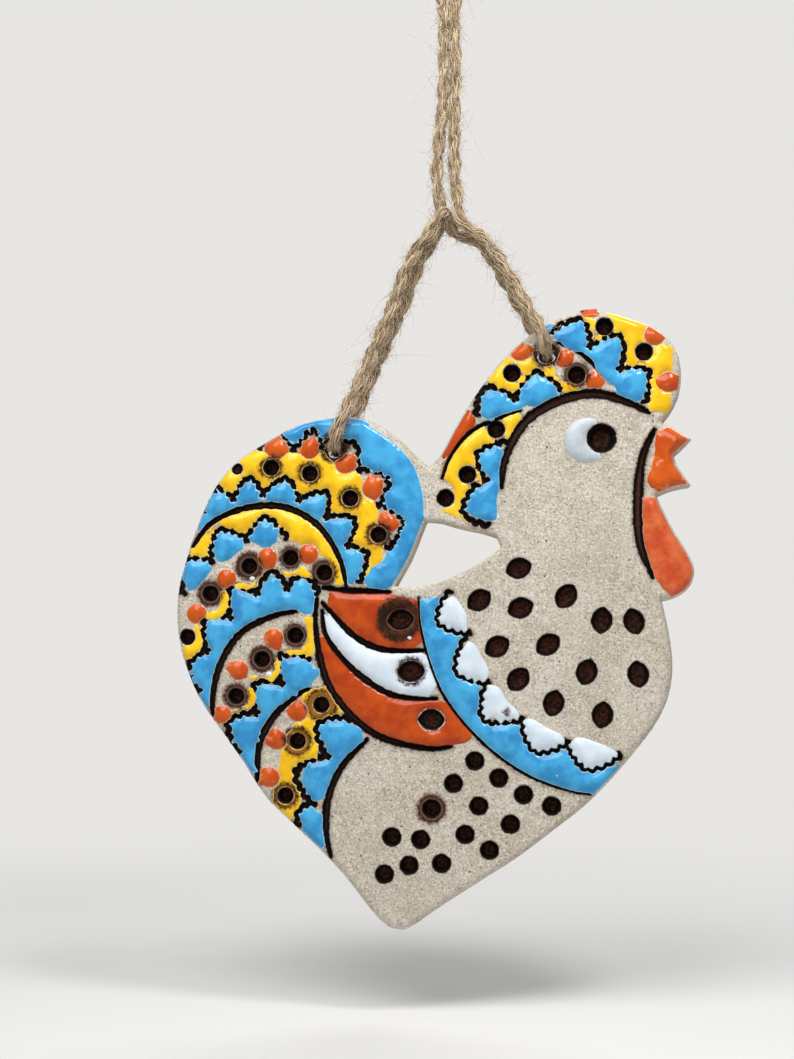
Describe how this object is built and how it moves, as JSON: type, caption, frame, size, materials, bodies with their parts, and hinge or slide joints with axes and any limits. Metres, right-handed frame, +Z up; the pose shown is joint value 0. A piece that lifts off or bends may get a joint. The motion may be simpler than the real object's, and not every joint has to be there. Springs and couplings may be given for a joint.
{
  "type": "hanging clay ornament",
  "caption": "Flat fired-clay rooster plaque with stamped relief and coloured glaze pools, hung on a doubled loop of jute twine that runs through two holes.",
  "frame": {"origin": "inside top of the twine's loop, where a hook or nail carries the ornament", "axes": "+Z up along the hanging twine, the decorated front faces -Y, +X to the rooster's beak side"},
  "size_m": [0.1001, 0.0131, 0.1909],
  "materials": {
    "clay": "matt, sandy, speckled",
    "glaze_blue": "gloss",
    "glaze_yellow": "gloss",
    "glaze_orange": "gloss",
    "glaze_coral": "satin",
    "glaze_white": "gloss",
    "twine": "hairy jute"
  },
  "bodies": {
    "bight": {"twine_bight": "twine"},
    "hanger": {"twine_strand_left": "twine", "twine_strand_right": "twine"},
    "sling": {"twine_hitch": "twine", "twine_leg_left": "twine", "twine_leg_right": "twine"},
    "rooster": {"clay_plaque": "clay", "glaze_beak_orange": "glaze_orange", "glaze_collar_blue": "glaze_blue", "glaze_collar_white_1": "glaze_white", "glaze_collar_white_2": "glaze_white", "glaze_collar_white_3": "glaze_white", "glaze_collar_white_4": "glaze_white", "glaze_collar_white_5": "glaze_white", "glaze_comb_low_blue": "glaze_blue", "glaze_comb_low_yellow": "glaze_yellow", "glaze_comb_middle_accent_1": "glaze_orange", "glaze_comb_middle_accent_2": "glaze_orange", "glaze_comb_middle_accent_3": "glaze_orange", "glaze_comb_middle_blue": "glaze_blue", "glaze_comb_middle_yellow": "glaze_yellow", "glaze_comb_side_orange": "glaze_orange", "glaze_comb_top_blue": "glaze_blue", "glaze_comb_top_dot_1": "glaze_orange", "glaze_comb_top_dot_2": "glaze_orange", "glaze_comb_top_yellow": "glaze_yellow", "glaze_eye_white": "glaze_white", "glaze_tail_last_blue": "glaze_blue", "glaze_tail_last_dot_1": "glaze_orange", "glaze_tail_last_dot_2": "glaze_orange", "glaze_tail_last_dot_3": "glaze_orange", "glaze_tail_last_tip_blue": "glaze_blue", "glaze_tail_last_yellow": "glaze_yellow", "glaze_tail_middle_blue_1": "glaze_blue", "glaze_tail_middle_blue_2": "glaze_blue", "glaze_tail_middle_blue_3": "glaze_blue", "glaze_tail_middle_dot_1": "glaze_orange", "glaze_tail_middle_dot_2": "glaze_orange", "glaze_tail_middle_dot_3": "glaze_orange", "glaze_tail_middle_dot_4": "glaze_orange", "glaze_tail_middle_lace_blue": "glaze_blue", "glaze_tail_middle_patch_yellow": "glaze_yellow", "glaze_tail_middle_yellow": "glaze_yellow", "glaze_tail_rim_blue": "glaze_blue", "glaze_tail_rim_dot_1": "glaze_orange", "glaze_tail_rim_dot_2": "glaze_orange", "glaze_tail_rim_dot_3": "glaze_orange", "glaze_tail_rim_dot_4": "glaze_orange", "glaze_tail_rim_dot_5": "glaze_orange", "glaze_tail_rim_lace_blue": "glaze_blue", "glaze_tail_rim_yellow": "glaze_yellow", "glaze_tail_third_blue": "glaze_blue", "glaze_tail_third_dot_1": "glaze_orange", "glaze_tail_third_dot_2": "glaze_orange", "glaze_wattle_coral": "glaze_coral", "glaze_wing_low_orange": "glaze_orange", "glaze_wing_middle_white": "glaze_white", "glaze_wing_top_orange": "glaze_orange"}
  },
  "joints": [
    {"name": "swing", "type": "hinge", "parent": "bight", "child": "hanger", "pos_m": [0, 0, -0.008], "axis": [0, 1, 0], "range_deg": [-35, 35], "deforming": ["twine_strand_left", "twine_strand_right"]},
    {"name": "turn", "type": "hinge", "parent": "hanger", "child": "sling", "pos_m": [-0.0002, 0, -0.047], "axis": [0, 0, 1], "range_deg": [-180, 180], "stiffness_Nm_per_rad": 0.00005, "deforming": ["twine_strand_left", "twine_strand_right"]},
    {"name": "tilt", "type": "hinge", "parent": "sling", "child": "rooster", "pos_m": [-0.0224, 0, -0.0964], "axis": [0.918, 0, 0.3966], "range_deg": [-20, 20], "deforming": ["twine_leg_left", "twine_leg_right"]}
  ]
}
